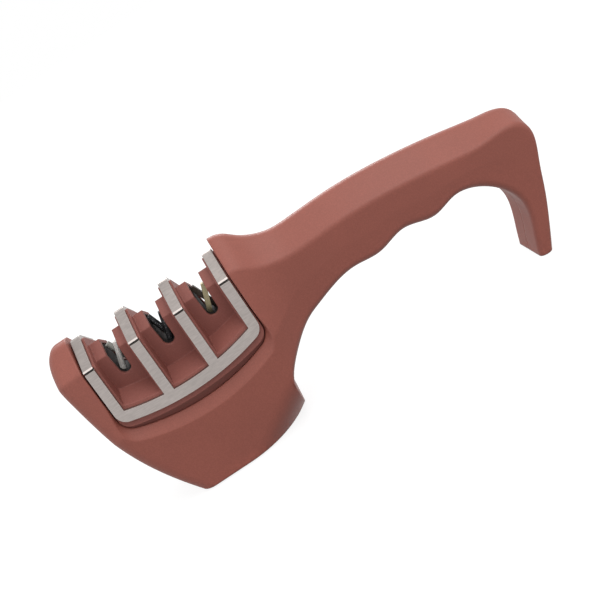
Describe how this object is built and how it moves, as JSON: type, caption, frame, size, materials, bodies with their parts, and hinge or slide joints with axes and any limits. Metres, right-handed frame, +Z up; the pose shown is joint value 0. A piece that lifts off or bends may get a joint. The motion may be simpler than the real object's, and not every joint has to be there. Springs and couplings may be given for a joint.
{
  "type": "pull through knife sharpener",
  "caption": "Handheld pull through knife sharpener: angular hooked handle body, bright comb frame and a lift out module with crossed rods in V slots.",
  "frame": {"origin": "bottom centre of the bounding box, on the table plane", "axes": "+X from the sharpening head to the hooked handle end, +Y from the near side to the far side, +Z up"},
  "size_m": [0.2055, 0.0414, 0.0801],
  "materials": {
    "shell_plastic": "fine satin texture, dusty terracotta",
    "cover_plastic": "fine satin texture, dusty terracotta",
    "black_plastic": "moulded, matt",
    "comb_metal": "satin",
    "screw_steel": "zinc plated",
    "pad_rubber": "matt",
    "white_ceramic": "fine ground",
    "grey_ceramic": "coarse ground",
    "diamond_black": "diamond grit coat",
    "carbide_dark": "ground",
    "carbide_brass": "ground"
  },
  "bodies": {
    "handled_body": {"body_near_half": "shell_plastic", "body_far_half": "shell_plastic", "shell_screws": "screw_steel", "base_plate": "black_plastic", "base_screws": "screw_steel", "foot_pad": "pad_rubber"},
    "sharpening_module": {"comb_frame": "comb_metal", "cartridge_cover": "cover_plastic", "cartridge_tray": "black_plastic", "cartridge_screws": "screw_steel", "keeper_plate": "black_plastic", "ceramic_holder": "black_plastic", "diamond_holder": "black_plastic", "carbide_holder": "black_plastic", "ceramic_rod_left": "grey_ceramic", "ceramic_rod_right": "white_ceramic", "diamond_rod_left": "diamond_black", "diamond_rod_right": "diamond_black", "carbide_blade_left": "carbide_dark", "carbide_blade_right": "carbide_brass"}
  },
  "joints": [
    {"name": "module_lift", "type": "slide", "parent": "handled_body", "child": "sharpening_module", "axis": [0, 0, 1], "range_m": [0, 0.045]}
  ]
}
